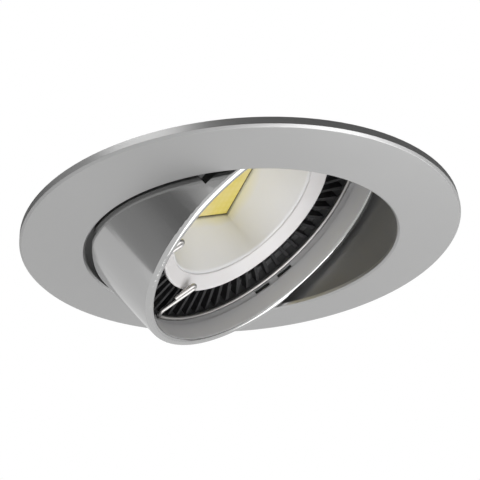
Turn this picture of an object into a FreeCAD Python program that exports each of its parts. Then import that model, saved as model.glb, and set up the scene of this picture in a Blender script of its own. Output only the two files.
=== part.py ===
import FreeCAD, Part
import math
import os
import Sketcher

# Recessed, tilting soffit downlight for one large reflector lamp.
#
# The origin is the centre of the trim flange's back face, the plane that meets
# the underside of the soffit board, and +Z points up into the soffit. The
# barrel swings about an axis parallel to Y and is drawn tilted towards +X.
# Barrel pieces are drawn upright about the pivot, with their mouth towards -Z,
# and are turned to the resting tilt by their Placement.

SIZES = (
    # trim ring
    ("flange_radius", 87.5, "outer edge of the visible flange"),
    ("flange_depth", 3.4, "visible face to back face"),
    ("opening_radius", 62.93, "hole that the barrel swings out of"),
    ("land_depth", 2.2, "straight wall of the opening"),
    ("rim_width", 3.0, "flat rim that meets the board"),
    ("web_thickness", 2.0, "flange between rim and collar"),
    ("collar_radius", 67.0, "inside of the collar"),
    ("collar_wall", 2.5, "collar wall"),
    ("collar_height", 36.0, "top of the collar above the back face"),
    ("root_width", 3.0, "thick foot of the collar"),
    ("edge_round", 0.8, "broken edges"),
    ("boss_radius", 7.0, "pivot boss"),
    ("boss_stand", 1.5, "pivot boss outside the collar"),
    ("pad_half_width", 9.0, "flat for a clip bracket"),
    ("pad_stand", 1.1, "clip flat outside the collar"),
    ("pad_low", 2.0, "lower end of the clip flat"),
    # tilting barrel
    ("pivot_height", 21.1, "tilt axis above the back face"),
    ("rest_tilt", 33.0, "tilt at rest, degrees"),
    ("mouth_reach", 24.5, "pivot to the front of the lip"),
    ("mouth_radius", 57.4, "inside of the lip"),
    ("lip_width", 3.6, "lip, fully rounded"),
    ("lip_flat", 0.1, "flat left between the two roundings of the lip"),
    ("tail_reach", 9.6, "pivot to the back edge of the sleeve"),
    ("tail_radius", 64.4, "outside of the sleeve at its back edge"),
    ("sleeve_wall", 1.6, "sleeve wall behind the lamp ring"),
    ("window_front", 19.5, "pivot to the front of a pivot window"),
    ("window_angle", 32.0, "width of a pivot window, degrees"),
    ("window_skin", 1.6, "inner skin left in front of a window"),
    ("cut_clear", 5.0, "cutting outlines beyond the piece that they cut"),
    # lamp ring and the wire that keeps the lamp in it
    ("ring_front", 14.9, "pivot to the front of the lamp ring"),
    ("ring_seat", 6.0, "length of the seat in the sleeve"),
    ("ring_radius", 58.0, "inside of the lamp ring"),
    ("ring_wall", 1.45, "lamp ring wall"),
    ("ledge_reach", 5.6, "pivot to the ledge that the lamp rests on"),
    ("ledge_radius", 53.0, "inside of the ledge"),
    ("wire_plane", 11.15, "pivot to the plane of the retaining wire"),
    ("wire_radius", 1.0, "retaining wire"),
    ("wire_bite", 0.2, "wire held in its groove"),
    ("wire_turn", 5.8, "the wire's gap turned about the barrel, degrees"),
    ("ear_offset", 19.9, "ear to the middle of the wire's gap"),
    ("ear_end", 34.9, "axis of the barrel to the end of an ear"),
    ("ear_return", 9.0, "length of wire folded back at an ear"),
    ("ear_bend", 2.5, "bend between ring and ear"),
    ("ear_fold", 1.25, "bend of an ear's fold"),
    ("slot_inner", 2.5, "middle of a plate to the near end of a slot"),
    ("slot_length", 8.5, "slot for a plate's tab"),
    ("slot_width", 1.7, "slot across the tab"),
    ("slot_middle", 13.25, "pivot to the middle of the slots"),
    # pivots
    ("plate_gap", 0.15, "pivot plate off the lamp ring"),
    ("plate_thickness", 1.5, "pivot plate"),
    ("plate_half_width", 11.5, "pivot plate"),
    ("plate_tail", 8.0, "pivot plate behind the pivot"),
    ("tab_thickness", 1.2, "tab of the pivot plate"),
    ("spring_washer_thickness", 0.4, "friction washer"),
    ("screw_radius", 2.0, "pivot screw"),
    ("screw_proud", 0.4, "pivot screw beyond its nut"),
    ("screw_slot", 1.0, "slot in a pivot screw's head"),
    ("pivot_head_radius", 4.0, "pivot screw head"),
    ("pivot_head_height", 2.6, "pivot screw head"),
    ("washer_radius", 4.6, "plain washer"),
    ("washer_thickness", 0.8, "plain washer"),
    ("nut_flats", 7.0, "pivot nut across its flats"),
    ("nut_height", 2.4, "pivot nut"),
    ("running_gap", 0.05, "turning fit"),
    ("face_gap", 0.05, "faces that slide on each other"),
    # lamp
    ("lamp_radius", 56.6, "tips of the fins at the lamp's rim"),
    ("rim_back_gap", 0.1, "fins off the ledge"),
    ("fin_count", 56, "cooling fins"),
    ("fin_thickness", 1.7, "cooling fin"),
    ("fin_front_outer", 9.9, "pivot to the fins' front at their tips"),
    ("fin_front_inner", 8.3, "pivot to the fins' front at the hub"),
    ("waist_radius", 52.4, "fins just behind the ledge"),
    ("fin_tail_radius", 45.0, "fins at their back"),
    ("fin_tail", 22.0, "pivot to the back of the fins"),
    ("hub_radius", 40.5, "hub outside"),
    ("hub_bore", 38.0, "hub inside"),
    ("hub_head_radius", 42.6, "hub outside at its front"),
    ("hub_head_bore", 40.8, "hub inside at its front"),
    ("hub_front", 7.2, "pivot to the front of the hub"),
    ("hub_step", 3.6, "pivot to the step that carries the bezel"),
    ("hub_back", 24.0, "pivot to the back of the hub"),
    ("hub_floor", 4.4, "hub floor under the board"),
    ("fin_root", 1.0, "fin sunk in the hub"),
    ("bezel_radius", 43.0, "outer edge of the bezel"),
    ("bezel_front", 9.6, "pivot to the front of the bezel"),
    ("bezel_inner", 36.1, "inner edge of the bezel"),
    ("bezel_inner_front", 5.4, "pivot to the bezel's inner edge"),
    ("seat_gap", 0.1, "pieces that lie in a seat"),
    ("reflector_wall", 0.9, "reflector shell"),
    ("array_half", 24.0, "half the side of the reflector's square end"),
    ("board_thickness", 1.6, "light source board"),
    ("board_radius", 37.4, "light source board"),
    ("array_thickness", 0.5, "yellow light source"),
    ("border_width", 0.7, "dark border of the light source"),
    ("border_gap", 0.1, "border off its neighbours"),
    # driver, base and lampholder
    ("housing_radius", 30.0, "driver housing at the hub"),
    ("housing_shoulder", 31.0, "pivot to the end of its straight part"),
    ("housing_waist", 19.0, "driver housing at its waist"),
    ("housing_waist_reach", 47.0, "pivot to the waist"),
    ("base_radius", 15.0, "plug end of the housing"),
    ("base_reach", 59.0, "pivot to the plug end"),
    ("base_step", 2.0, "slope between waist and plug end"),
    ("housing_wall", 1.8, "driver housing wall"),
    ("driver_half_width", 16.0, "driver board"),
    ("driver_length", 21.0, "driver board"),
    ("driver_board_thickness", 1.6, "driver board"),
    ("coil_former_width", 12.0, "transformer on the driver board"),
    ("coil_former_length", 11.5, "transformer on the driver board"),
    ("coil_former_height", 8.0, "transformer on the driver board"),
    ("capacitor_radius", 4.8, "capacitor on the driver board"),
    ("capacitor_height", 9.6, "capacitor on the driver board"),
    ("part_inset", 3.2, "transformer and capacitor off the board's ends"),
    ("pin_spacing", 10.0, "contact pins, middle to middle"),
    ("pin_radius", 1.5, "contact pin"),
    ("pin_head_radius", 2.5, "contact pin head"),
    ("pin_length", 7.0, "contact pin"),
    ("pin_head_length", 2.2, "contact pin head"),
    ("holder_radius", 14.0, "lampholder"),
    ("holder_length", 14.0, "lampholder"),
    ("holder_gap", 0.3, "lampholder off the plug end"),
    ("socket_depth", 8.2, "hole for a contact pin"),
    ("contact_thickness", 0.6, "contact at the bottom of a socket"),
    ("cover_thickness", 2.0, "lampholder cover"),
    ("rivet_spacing", 17.0, "lampholder rivets, middle to middle"),
    ("rivet_radius", 1.2, "lampholder rivet"),
    ("rivet_head_radius", 2.2, "lampholder rivet head"),
    ("rivet_head_height", 0.9, "lampholder rivet head"),
    # spring clips
    ("bracket_half_width", 8.0, "clip bracket"),
    ("bracket_wall", 1.0, "clip bracket"),
    ("bracket_low", 4.0, "lower end of the bracket"),
    ("bracket_high", 33.0, "upper end of the bracket"),
    ("cheek_high", 19.0, "upper end of the cheeks"),
    ("cheek_margin", 3.4, "cheek beyond the clip pin"),
    ("clip_pin_height", 12.0, "clip pin above the back face"),
    ("clip_pin_radius", 1.25, "clip pin"),
    ("clip_pin_head_radius", 2.0, "clip pin head"),
    ("clip_pin_head", 0.8, "clip pin head"),
    ("coil_radius", 2.5, "middle of the spring wire to the pin's axis"),
    ("coil_wire", 0.5, "radius of the spring wire"),
    ("coil_pitch", 1.8, "coil to coil"),
    ("coil_turns", 3, "whole turns of a clip spring"),
    ("coil_leg_up", 6.5, "leg along the bracket"),
    ("coil_leg_out", 12.0, "leg along the arm"),
    ("coil_gap", 0.25, "leg off the bracket"),
    ("clip_screw_low", 22.0, "lower bracket screw"),
    ("clip_screw_high", 28.5, "upper bracket screw"),
    ("clip_screw_radius", 1.2, "bracket screw"),
    ("clip_screw_depth", 2.6, "bracket screw in the collar"),
    ("clip_head_radius", 2.7, "bracket screw head"),
    ("clip_head_height", 1.4, "bracket screw head"),
    ("arm_thickness", 1.0, "clip arm"),
    ("arm_gap", 0.3, "clip arm off the cheeks"),
    ("arm_flat", 9.0, "level part of the arm beyond the pin"),
    ("arm_reach", 37.0, "pin to the arm's lowest point"),
    ("arm_drop", 5.2, "fall of the arm along its length"),
    ("arm_tip", 6.0, "upturned tip"),
    ("arm_tip_rise", 2.0, "upturned tip"),
    ("arm_ear_radius", 2.8, "arm's ears round the pin"),
    ("arm_ear_length", 7.2, "foot of the arm's ears"),
)

doc = FreeCAD.newDocument("soffit_downlight")
sheet = doc.addObject("Spreadsheet::Sheet", "Sizes")
for row, (name, number, meaning) in enumerate(SIZES, start=1):
    sheet.set("A%d" % row, name)
    sheet.set("B%d" % row, str(number))
    sheet.set("C%d" % row, meaning)
    sheet.setAlias("B%d" % row, name)
doc.recompute()


class Size:
    """A number that also knows the sheet formula it comes from."""

    def __init__(self, value, text):
        self.value = float(value)
        self.text = text

    @staticmethod
    def of(other):
        return other if isinstance(other, Size) else Size(other, repr(float(other)))

    def joined(self, other, sign, value):
        return Size(value, "(%s %s %s)" % (self.text, sign, Size.of(other).text))

    def __add__(self, other):
        return self.joined(other, "+", self.value + Size.of(other).value)

    def __sub__(self, other):
        return self.joined(other, "-", self.value - Size.of(other).value)

    def __mul__(self, other):
        return self.joined(other, "*", self.value * Size.of(other).value)

    def __truediv__(self, other):
        return self.joined(other, "/", self.value / Size.of(other).value)

    def __neg__(self):
        return Size(-self.value, "(-1 * %s)" % self.text)


class Sheet:
    """Gives each aliased cell of the sheet as a Size."""

    def __getattr__(self, alias):
        return Size(sheet.get(alias), "Sizes." + alias)


of = Sheet()
NOTHING = Size(0, "0")
NODES = []


# ---------------------------------------------------------------- drawing helpers


def new_body(name):
    body = doc.addObject("PartDesign::Body", name)
    body.Label = name
    return body


def origin_feature(body, role):
    return next(item for item in body.Origin.OriginFeatures if item.Role == role)


def new_sketch(body, plane, offset=NOTHING):
    """A sketch on one of the body's own planes, moved along the plane's normal."""
    sketch = body.newObject("Sketcher::SketchObject", body.Name + "_sketch")
    sketch.AttachmentSupport = (origin_feature(body, plane), "")
    sketch.MapMode = "FlatFace"
    sketch.AttachmentOffset = FreeCAD.Placement(
        FreeCAD.Vector(0, 0, offset.value), FreeCAD.Rotation()
    )
    sketch.setExpression("AttachmentOffset.Base.z", offset.text)
    return sketch


def pin_point(sketch, line, end, across, up):
    """Holds one point of the sketch at two bound distances from its origin."""
    for kind, distance in (("DistanceX", across), ("DistanceY", up)):
        index = sketch.addConstraint(
            Sketcher.Constraint(kind, -1, 1, line, end, distance.value)
        )
        sketch.setExpression("Constraints[%d]" % index, distance.text)


def polygon(sketch, corners):
    """A closed outline whose corners are bound pairs of sizes."""
    corners = [(Size.of(across), Size.of(up)) for across, up in corners]
    points = [FreeCAD.Vector(across.value, up.value, 0) for across, up in corners]
    lines = []
    for start, end in zip(points, points[1:] + points[:1]):
        lines.append(sketch.addGeometry(Part.LineSegment(start, end), False))
    for line, following in zip(lines, lines[1:] + lines[:1]):
        sketch.addConstraint(Sketcher.Constraint("Coincident", line, 2, following, 1))
    for line, (across, up) in zip(lines, corners):
        pin_point(sketch, line, 1, across, up)


def box_outline(sketch, low, high):
    """An upright rectangle between two bound corners."""
    polygon(sketch, [low, (high[0], low[1]), high, (low[0], high[1])])


def circle(sketch, across, up, radius):
    across = Size.of(across)
    up = Size.of(up)
    middle = FreeCAD.Vector(across.value, up.value, 0)
    ring = sketch.addGeometry(
        Part.Circle(middle, FreeCAD.Vector(0, 0, 1), radius.value), False
    )
    index = sketch.addConstraint(Sketcher.Constraint("Radius", ring, radius.value))
    sketch.setExpression("Constraints[%d]" % index, radius.text)
    pin_point(sketch, ring, 3, across, up)


def feature(body, kind, sketch, **settings):
    """A PartDesign feature of the sketch; Size settings are bound to the sheet."""
    item = body.newObject("PartDesign::" + kind, body.Name + "_" + kind.lower())
    item.Profile = sketch
    for name, setting in settings.items():
        if isinstance(setting, Size):
            setattr(item, name, setting.value)
            item.setExpression(name, setting.text)
        else:
            setattr(item, name, setting)
    sketch.Visibility = False
    body.Tip = item
    return item


def turned(name, corners, axis="V_Axis", plane="XZ_Plane"):
    """A body turned about an axis of its sketch."""
    body = new_body(name)
    sketch = new_sketch(body, plane)
    polygon(sketch, corners)
    feature(body, "Revolution", sketch, ReferenceAxis=(sketch, [axis]), Angle=360.0)
    return body


def pad(body, sketch, length, **settings):
    return feature(body, "Pad", sketch, Length=length, **settings)


def pocket(body, sketch, length, **settings):
    return feature(body, "Pocket", sketch, Length=length, **settings)


def pocket_through(body, sketch):
    """Cuts the sketch right through the body, on both sides of its plane."""
    return feature(body, "Pocket", sketch, Type="ThroughAll", Midplane=True)


def mirror(body, features, plane):
    copy = body.newObject("PartDesign::Mirrored", body.Name + "_mirrored")
    copy.Originals = features
    copy.MirrorPlane = (origin_feature(body, plane), [""])
    body.Tip = copy
    return copy


def around(body, features, count):
    """Repeats features evenly about the body's Z axis."""
    copy = body.newObject("PartDesign::PolarPattern", body.Name + "_pattern")
    copy.Originals = features
    copy.Axis = (origin_feature(body, "Z_Axis"), [""])
    copy.Angle = 360.0
    copy.Occurrences = int(count.value)
    copy.setExpression("Occurrences", count.text)
    body.Tip = copy
    return copy


def round_edges(body, radius, wanted):
    """Rounds the edges of the body so far for which wanted(edge) is true."""
    doc.recompute()
    tip = body.Tip
    names = [
        "Edge%d" % number
        for number, edge in enumerate(tip.Shape.Edges, start=1)
        if wanted(edge)
    ]
    if not names:
        raise ValueError("no edge to round on " + body.Name)
    item = body.newObject("PartDesign::Fillet", body.Name + "_round")
    item.Base = (tip, names)
    item.Radius = radius.value
    item.setExpression("Radius", radius.text)
    body.Tip = item
    return item


NEAR = 0.02


def ring_edge(radius, height):
    """Chooses the circular edges of a radius at a height."""

    def wanted(edge):
        curve = edge.Curve
        return (
            isinstance(curve, Part.Circle)
            and abs(curve.Radius - radius.value) < NEAR
            and abs(curve.Center.z - height.value) < NEAR
        )

    return wanted


def straight_edge(direction, **place):
    """Chooses straight edges along a direction whose middle has the given places."""

    def wanted(edge):
        if not isinstance(edge.Curve, Part.Line):
            return False
        if abs(abs(edge.Curve.Direction.dot(direction)) - 1) > NEAR:
            return False
        middle = edge.CenterOfMass
        return all(abs(getattr(middle, key) - at.value) < NEAR for key, at in place.items())

    return wanted


ALONG_X = FreeCAD.Vector(1, 0, 0)
ALONG_Y = FreeCAD.Vector(0, 1, 0)
ALONG_Z = FreeCAD.Vector(0, 0, 1)


def node(item, name, placement=None):
    """Names an object as one of the finished pieces, and places it."""
    item.Label = name
    if placement is not None:
        item.Placement = placement
    NODES.append(item)
    return item


def mirrored(source, normal):
    copy = doc.addObject("Part::Mirroring", source.Name + "_twin")
    copy.Source = source
    copy.Normal = normal
    copy.Base = FreeCAD.Vector(0, 0, 0)
    return copy


def group(name, items):
    """Several like solids that share one node."""
    item = doc.addObject("Part::Compound", name + "_group")
    item.Links = items
    return item


def pair(name, source, normal):
    return group(name, [source, mirrored(source, normal)])


def tilted():
    """The resting place of everything that swings with the barrel."""
    return FreeCAD.Placement(
        FreeCAD.Vector(0, 0, of.pivot_height.value),
        FreeCAD.Rotation(ALONG_Y, -of.rest_tilt.value),
    )


# ---------------------------------------------------------------- trim ring

COLLAR_OUTER = of.collar_radius + of.collar_wall
BOSS_FACE = COLLAR_OUTER + of.boss_stand
PLATE_INNER = of.ring_radius + of.ring_wall + of.plate_gap
PLATE_OUTER = PLATE_INNER + of.plate_thickness
LUG_FACE = PLATE_OUTER + of.spring_washer_thickness + of.face_gap * 2
PAD_FACE = COLLAR_OUTER + of.pad_stand


def make_trim_ring():
    """Cast flange and collar with pivot bosses at +-Y and clip flats at +-X."""
    face = -of.flange_depth
    web = face + of.web_thickness
    land = face + of.land_depth
    rim = of.flange_radius - of.rim_width
    root = COLLAR_OUTER + of.root_width
    body = turned(
        "trim_ring",
        [
            (of.opening_radius, face + of.edge_round),
            (of.opening_radius + of.edge_round, face),
            (of.flange_radius - of.edge_round, face),
            (of.flange_radius, face + of.edge_round),
            (of.flange_radius, 0),
            (rim, 0),
            (rim, web),
            (root, web),
            (root, 0),
            (COLLAR_OUTER, 0),
            (COLLAR_OUTER, of.collar_height - of.edge_round),
            (COLLAR_OUTER - of.edge_round, of.collar_height),
            (of.collar_radius, of.collar_height),
            (of.collar_radius, land),
            (of.opening_radius, land),
        ],
    )

    sketch = new_sketch(body, "XZ_Plane", -LUG_FACE)
    circle(sketch, 0, of.pivot_height, of.boss_radius)
    boss = pad(body, sketch, BOSS_FACE - LUG_FACE, Reversed=True)
    mirror(body, [boss], "XZ_Plane")

    sketch = new_sketch(body, "XZ_Plane")
    circle(sketch, 0, of.pivot_height, of.screw_radius + of.running_gap)
    pocket_through(body, sketch)

    inside = of.collar_radius + of.collar_wall / 3
    sketch = new_sketch(body, "YZ_Plane", inside)
    box_outline(
        sketch,
        (-of.pad_half_width, of.pad_low),
        (of.pad_half_width, of.bracket_high + 1),
    )
    flat = pad(body, sketch, PAD_FACE - inside)
    mirror(body, [flat], "YZ_Plane")

    for height in (of.clip_screw_low, of.clip_screw_high):
        sketch = new_sketch(body, "YZ_Plane", PAD_FACE)
        circle(sketch, 0, height, of.clip_screw_radius + of.running_gap)
        hole = pocket(body, sketch, of.clip_screw_depth + of.seat_gap)
        mirror(body, [hole], "YZ_Plane")
    node(body, "trim_ring")


# ---------------------------------------------------------------- tilting barrel


def make_barrel_sleeve():
    """Flared sleeve with a fully rounded lip and a window at each pivot."""
    front = -of.mouth_reach
    lip_outer = of.mouth_radius + of.lip_width
    round_radius = (of.lip_width - of.lip_flat) / 2
    seat = of.ring_radius + of.ring_wall + of.running_gap
    seat_end = of.ring_seat - of.ring_front
    slope = (of.tail_radius - lip_outer) / (of.tail_reach - front)
    wall_at_seat = lip_outer + slope * (seat_end - front) - of.sleeve_wall
    body = turned(
        "barrel_sleeve",
        [
            (of.mouth_radius, front),
            (lip_outer, front),
            (of.tail_radius, of.tail_reach),
            (of.tail_radius - of.sleeve_wall, of.tail_reach),
            (wall_at_seat, seat_end),
            (seat, seat_end),
            (seat, -of.ring_front),
            (of.mouth_radius, -of.ring_front),
        ],
    )
    inside = ring_edge(of.mouth_radius, front)
    outside = ring_edge(lip_outer, front)
    round_edges(body, round_radius, lambda edge: inside(edge) or outside(edge))

    sketch = new_sketch(body, "YZ_Plane")
    box_outline(
        sketch,
        (of.mouth_radius + of.window_skin, -of.window_front),
        (of.tail_radius + of.cut_clear, of.tail_reach + of.cut_clear),
    )
    window = feature(
        body,
        "Groove",
        sketch,
        ReferenceAxis=(sketch, ["V_Axis"]),
        Angle=of.window_angle,
        Midplane=True,
    )
    mirror(body, [window], "XZ_Plane")
    node(body, "barrel_sleeve", tilted())


def make_lamp_ring():
    """Inner ring with a back ledge, a groove for the wire and tab slots."""
    outer = of.ring_radius + of.ring_wall
    groove = of.ring_radius + of.wire_bite + of.running_gap
    half_groove = of.wire_radius + of.running_gap
    ledge_back = of.ring_wall - of.ledge_reach
    body = turned(
        "lamp_ring",
        [
            (of.ring_radius, -of.ring_front),
            (outer, -of.ring_front),
            (outer, ledge_back),
            (of.ledge_radius, ledge_back),
            (of.ledge_radius, -of.ledge_reach),
            (of.ring_radius, -of.ledge_reach),
            (of.ring_radius, half_groove - of.wire_plane),
            (groove, half_groove - of.wire_plane),
            (groove, -half_groove - of.wire_plane),
            (of.ring_radius, -half_groove - of.wire_plane),
        ],
    )
    sketch = new_sketch(body, "XZ_Plane")
    low = -of.slot_middle - of.slot_width / 2
    high = -of.slot_middle + of.slot_width / 2
    far = of.slot_inner + of.slot_length
    box_outline(sketch, (of.slot_inner, low), (far, high))
    box_outline(sketch, (-far, low), (-of.slot_inner, high))
    pocket_through(body, sketch)
    node(body, "lamp_ring", tilted())


def make_pivot_plates():
    """Flat plates whose tabs hook through the lamp ring's slots."""
    body = new_body("pivot_plate")
    front = -of.slot_middle - of.tab_thickness / 2
    sketch = new_sketch(body, "XZ_Plane", -PLATE_INNER)
    box_outline(sketch, (-of.plate_half_width, front), (of.plate_half_width, of.plate_tail))
    pad(body, sketch, of.plate_thickness, Reversed=True)
    for side in (1, -1):
        corner = of.plate_half_width * side
        round_edges(
            body,
            of.plate_tail * 0.75,
            straight_edge(ALONG_Y, x=corner, z=of.plate_tail),
        )
    sketch = new_sketch(body, "XZ_Plane", -PLATE_INNER)
    near = of.slot_inner + of.seat_gap * 3
    far = of.slot_inner + of.slot_length - of.seat_gap * 3
    back = front + of.tab_thickness
    box_outline(sketch, (near, front), (far, back))
    box_outline(sketch, (-far, front), (-near, back))
    pad(body, sketch, of.ring_wall - of.plate_gap)
    sketch = new_sketch(body, "XZ_Plane")
    circle(sketch, 0, 0, of.screw_radius + of.running_gap)
    pocket_through(body, sketch)
    node(pair("pivot_plates", body, ALONG_Y), "pivot_plates", tilted())


def make_pivot_fasteners():
    """Screw, nut, friction washer and plain washer of each pivot."""
    hole = of.screw_radius + of.running_gap
    washer_face = BOSS_FACE + of.washer_thickness
    head = washer_face + of.face_gap
    top = head + of.pivot_head_height
    end = PLATE_INNER - of.nut_height - of.screw_proud
    screw = turned(
        "pivot_screw",
        [
            (end, 0),
            (end, of.screw_radius),
            (head, of.screw_radius),
            (head, of.pivot_head_radius),
            (top - of.pivot_head_height / 2, of.pivot_head_radius),
            (top, of.pivot_head_radius - of.pivot_head_height / 2),
            (top, 0),
        ],
        axis="H_Axis",
        plane="YZ_Plane",
    )
    sketch = new_sketch(screw, "XZ_Plane", -top)
    box_outline(
        sketch,
        (-of.washer_radius, -of.screw_slot / 2),
        (of.washer_radius, of.screw_slot / 2),
    )
    pocket(screw, sketch, of.pivot_head_height / 2)
    node(pair("pivot_screws", screw, ALONG_Y), "pivot_screws", tilted())

    nut = new_body("pivot_nut")
    sketch = new_sketch(nut, "XZ_Plane", -PLATE_INNER + of.nut_height)
    half = of.nut_flats / 2
    point = of.nut_flats / math.sqrt(3)
    polygon(
        sketch,
        [(point, 0), (point / 2, half), (-point / 2, half), (-point, 0),
         (-point / 2, -half), (point / 2, -half)],
    )
    pad(nut, sketch, of.nut_height, Reversed=True)
    sketch = new_sketch(nut, "XZ_Plane")
    circle(sketch, 0, 0, of.screw_radius + of.running_gap / 2)
    pocket_through(nut, sketch)
    node(pair("pivot_nuts", nut, ALONG_Y), "pivot_nuts", tilted())

    friction = turned_washer(
        "friction_washer", PLATE_OUTER + of.face_gap, of.spring_washer_thickness, hole
    )
    node(pair("friction_washers", friction, ALONG_Y), "friction_washers", tilted())

    plain = turned_washer("pivot_washer", BOSS_FACE, of.washer_thickness, hole)
    upright = FreeCAD.Placement(
        FreeCAD.Vector(0, 0, of.pivot_height.value), FreeCAD.Rotation()
    )
    node(pair("pivot_washers", plain, ALONG_Y), "pivot_washers", upright)


def turned_washer(name, start, thickness, hole):
    """A washer about the Y axis."""
    return turned(
        name,
        [
            (start, hole),
            (start, of.washer_radius),
            (start + thickness, of.washer_radius),
            (start + thickness, hole),
        ],
        axis="H_Axis",
        plane="YZ_Plane",
    )


def make_retaining_wire():
    """Open wire ring whose two ends run inwards and fold back as finger ears."""
    wire = of.wire_radius.value
    ring = of.ring_radius.value + of.wire_bite.value - wire
    bend = of.ear_bend.value
    ear = of.ear_offset.value
    fold = of.ear_fold.value
    bend_x = -math.sqrt((ring - bend) ** 2 - (ear + bend) ** 2)
    fold_x = fold - of.ear_end.value - wire
    level = -of.wire_plane.value

    def at(x, y):
        return FreeCAD.Vector(x, y, level)

    def ear_edges(side):
        """From the free end of one ear to the ring."""
        back = (ear - 2 * fold) * side
        line = ear * side
        start = at(fold_x - of.ear_return.value, back)
        turn = at(fold_x, back)
        leave = at(fold_x, line)
        tip = at(fold_x + fold, (ear - fold) * side)
        foot = at(bend_x, line)
        centre = FreeCAD.Vector(bend_x, (ear + bend) * side, 0)
        outward = FreeCAD.Vector(centre).normalize()
        join = centre + outward * bend
        corner = FreeCAD.Vector(-1, -side, 0).normalize()
        middle = centre + corner * bend
        return [
            Part.LineSegment(start, turn).toShape(),
            Part.Arc(turn, tip, leave).toShape(),
            Part.LineSegment(leave, foot).toShape(),
            Part.Arc(foot, at(middle.x, middle.y), at(join.x, join.y)).toShape(),
        ], at(join.x, join.y)

    first, first_join = ear_edges(1)
    last, last_join = ear_edges(-1)
    halfway = at(ring, 0)
    upper = at(0, ring)
    lower = at(0, -ring)
    quarter = ring * math.sqrt(0.5)
    rounds = [
        Part.Arc(first_join, at(-quarter, quarter), upper).toShape(),
        Part.Arc(upper, at(quarter, quarter), halfway).toShape(),
        Part.Arc(halfway, at(quarter, -quarter), lower).toShape(),
        Part.Arc(lower, at(-quarter, -quarter), last_join).toShape(),
    ]
    path = Part.Wire(first + rounds + last[::-1])
    item = doc.addObject("Part::Feature", "retaining_wire")
    item.Shape = tube(path, at(fold_x - of.ear_return.value, ear - 2 * fold), ALONG_X, wire)
    turn = FreeCAD.Rotation(ALONG_Z, of.wire_turn.value)
    node(item, "retaining_wire", tilted() * FreeCAD.Placement(FreeCAD.Vector(), turn))


def tube(path, start, direction, radius):
    """A round tube of one radius along a path of tangent edges."""
    section = Part.Wire([Part.Circle(start, direction, radius).toShape()])
    shell = Part.BRepOffsetAPI.MakePipeShell(path)
    shell.add(section)
    shell.build()
    shell.makeSolid()
    solid = shell.shape()
    expected = math.pi * radius ** 2 * path.Length
    print("tube volume %.2f, section times length %.2f" % (solid.Volume, expected))
    return solid


# ---------------------------------------------------------------- lamp


def make_lamp_heat_sink():
    """Cup-shaped hub with radial fins that reach out to the lamp's rim."""
    floor_front = of.hub_back - of.hub_floor
    body = turned(
        "lamp_heat_sink",
        [
            (0, floor_front),
            (of.hub_bore, floor_front),
            (of.hub_bore, -of.hub_step),
            (of.hub_head_bore, -of.hub_step),
            (of.hub_head_bore, -of.hub_front),
            (of.hub_head_radius, -of.hub_front),
            (of.hub_head_radius, -of.hub_step / 2),
            (of.hub_radius, 0),
            (of.hub_radius, of.hub_back),
            (0, of.hub_back),
        ],
    )
    shoulder = -of.ledge_reach - of.rim_back_gap
    bezel_side = of.bezel_radius + of.seat_gap * 2
    sketch = new_sketch(body, "XZ_Plane")
    polygon(
        sketch,
        [
            (of.hub_radius - of.fin_root, 0),
            (of.hub_head_radius - of.fin_root, -of.hub_step / 2),
            (of.hub_head_radius - of.fin_root, of.fin_root / 2 - of.hub_front),
            (bezel_side, -of.hub_front),
            (bezel_side, -of.fin_front_inner),
            (of.lamp_radius, -of.fin_front_outer),
            (of.lamp_radius, shoulder),
            (of.waist_radius, shoulder),
            (of.waist_radius, 0),
            (of.fin_tail_radius, of.fin_tail),
            (of.hub_radius - of.fin_root, of.fin_tail),
        ],
    )
    fin = pad(body, sketch, of.fin_thickness, Midplane=True)
    around(body, [fin], of.fin_count)
    node(body, "lamp_heat_sink", tilted())


def make_lamp_bezel():
    """White front ring that slopes in to the reflector."""
    seat = of.hub_head_bore - of.seat_gap
    body = turned(
        "lamp_bezel",
        [
            (of.bezel_radius, -of.hub_front - of.seat_gap),
            (of.bezel_radius, of.edge_round - of.bezel_front),
            (of.bezel_radius - of.edge_round, -of.bezel_front),
            (of.bezel_inner, -of.bezel_inner_front),
            (of.bezel_inner, -of.hub_step - of.seat_gap),
            (seat, -of.hub_step - of.seat_gap),
            (seat, -of.hub_front - of.seat_gap),
        ],
    )
    node(body, "lamp_bezel", tilted())


def corner_square(sketch, half):
    """A square that stands on its corners, by half the length of its side."""
    reach = half * math.sqrt(2)
    polygon(sketch, [(reach, 0), (0, reach), (-reach, 0), (0, -reach)])


def make_lamp_reflector():
    """White shell from the round bezel to the square light source."""
    body = new_body("lamp_reflector")
    board_front = of.hub_back - of.hub_floor - of.board_thickness
    front = -of.bezel_inner_front + of.seat_gap
    back = board_front - of.seat_gap
    radius = of.bezel_inner - of.seat_gap
    for kind, wall in (
        ("AdditiveLoft", NOTHING),
        ("SubtractiveLoft", of.reflector_wall),
    ):
        round_end = new_sketch(body, "XY_Plane", front)
        circle(round_end, 0, 0, radius - wall)
        square_end = new_sketch(body, "XY_Plane", back)
        corner_square(square_end, of.array_half + of.reflector_wall - wall)
        feature(body, kind, round_end, Sections=[square_end], Ruled=True)
        square_end.Visibility = False
    node(body, "lamp_reflector", tilted())


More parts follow.
